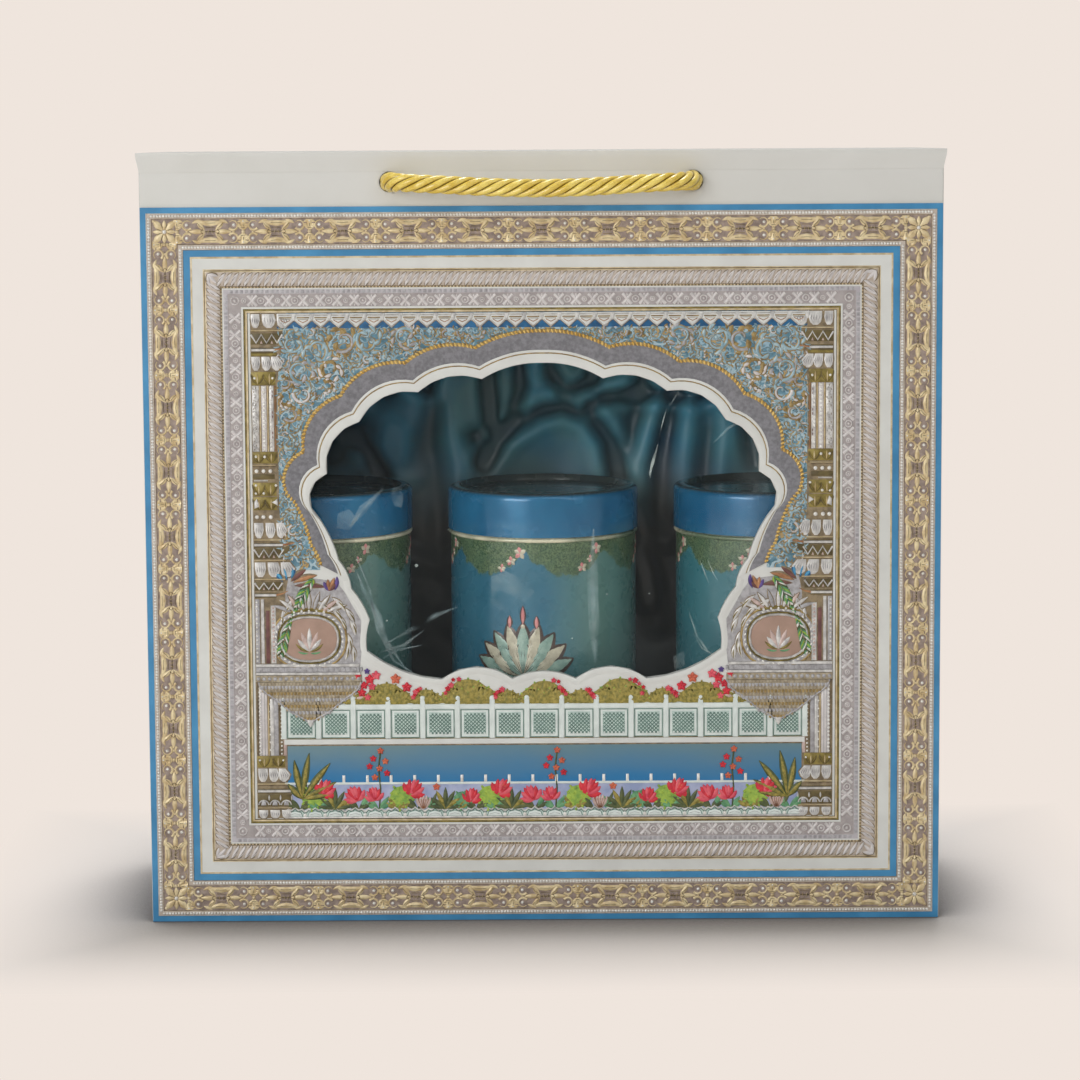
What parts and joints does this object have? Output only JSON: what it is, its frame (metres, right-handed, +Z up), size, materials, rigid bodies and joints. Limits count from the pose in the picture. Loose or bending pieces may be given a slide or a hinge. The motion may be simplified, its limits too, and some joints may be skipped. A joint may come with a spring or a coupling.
{
  "type": "window gift hamper",
  "caption": "Rigid paperboard gift box with a cusped-arch window, lift-up lid, twisted rope handles and round lidded tins standing in a satin-lined well.",
  "frame": {"origin": "centre of the box's foot, on the surface it stands on", "axes": "+Z up, +X along the window side, the window faces -Y"},
  "size_m": [0.302, 0.129, 0.2923],
  "materials": {
    "board_paper": "satin paper wrap",
    "header_paper": "satin paper wrap",
    "printed_sheet": "embossed, foiled print",
    "window_film": "clear film",
    "satin": "satin",
    "foam": "flocked foam",
    "rope": "satin twisted cord",
    "tin_print": "gloss print",
    "tinplate": "satin",
    "tin_lid": "gloss"
  },
  "bodies": {
    "box": {"bottom_board": "board_paper", "back_board": "board_paper", "left_board": "board_paper", "right_board": "board_paper", "front_board": "header_paper", "front_print": "printed_sheet", "window_film": "window_film", "satin_liner": "satin", "foam_insert": "foam", "hinge_tape_back": "board_paper"},
    "top_lid": {"lid_board": "header_paper", "hinge_tape_lid": "board_paper"},
    "front_handle": {"front_rope": "rope", "front_knot_left": "rope", "front_knot_right": "rope"},
    "back_handle": {"back_rope": "rope", "back_knot_left": "rope", "back_knot_right": "rope"},
    "tin_left": {"tin_body_left": "tin_print", "tin_base_left": "tinplate"},
    "tin_lid_left": {"tin_lid_left": "tin_lid"},
    "tin_middle": {"tin_body_middle": "tin_print", "tin_base_middle": "tinplate"},
    "tin_lid_middle": {"tin_lid_middle": "tin_lid"},
    "tin_right": {"tin_body_right": "tin_print", "tin_base_right": "tinplate"},
    "tin_lid_right": {"tin_lid_right": "tin_lid"}
  },
  "joints": [
    {"name": "top_lid_hinge", "type": "hinge", "parent": "box", "child": "top_lid", "pos_m": [0, 0.0489, 0.29015], "axis": [-1, 0, 0], "range_deg": [0, 180]},
    {"name": "front_handle_slide", "type": "slide", "parent": "box", "child": "front_handle", "axis": [0, -1, 0], "range_m": [0, 0.0195]},
    {"name": "back_handle_slide", "type": "slide", "parent": "box", "child": "back_handle", "axis": [0, 1, 0], "range_m": [0, 0.0195]},
    {"name": "tin_left_lift", "type": "slide", "parent": "box", "child": "tin_left", "axis": [0, 0, 1], "range_m": [0, 0.075]},
    {"name": "tin_lid_left_lift", "type": "slide", "parent": "tin_left", "child": "tin_lid_left", "axis": [0, 0, 1], "range_m": [0, 0.03]},
    {"name": "tin_middle_lift", "type": "slide", "parent": "box", "child": "tin_middle", "axis": [0, 0, 1], "range_m": [0, 0.075]},
    {"name": "tin_lid_middle_lift", "type": "slide", "parent": "tin_middle", "child": "tin_lid_middle", "axis": [0, 0, 1], "range_m": [0, 0.03]},
    {"name": "tin_right_lift", "type": "slide", "parent": "box", "child": "tin_right", "axis": [0, 0, 1], "range_m": [0, 0.075]},
    {"name": "tin_lid_right_lift", "type": "slide", "parent": "tin_right", "child": "tin_lid_right", "axis": [0, 0, 1], "range_m": [0, 0.03]}
  ]
}
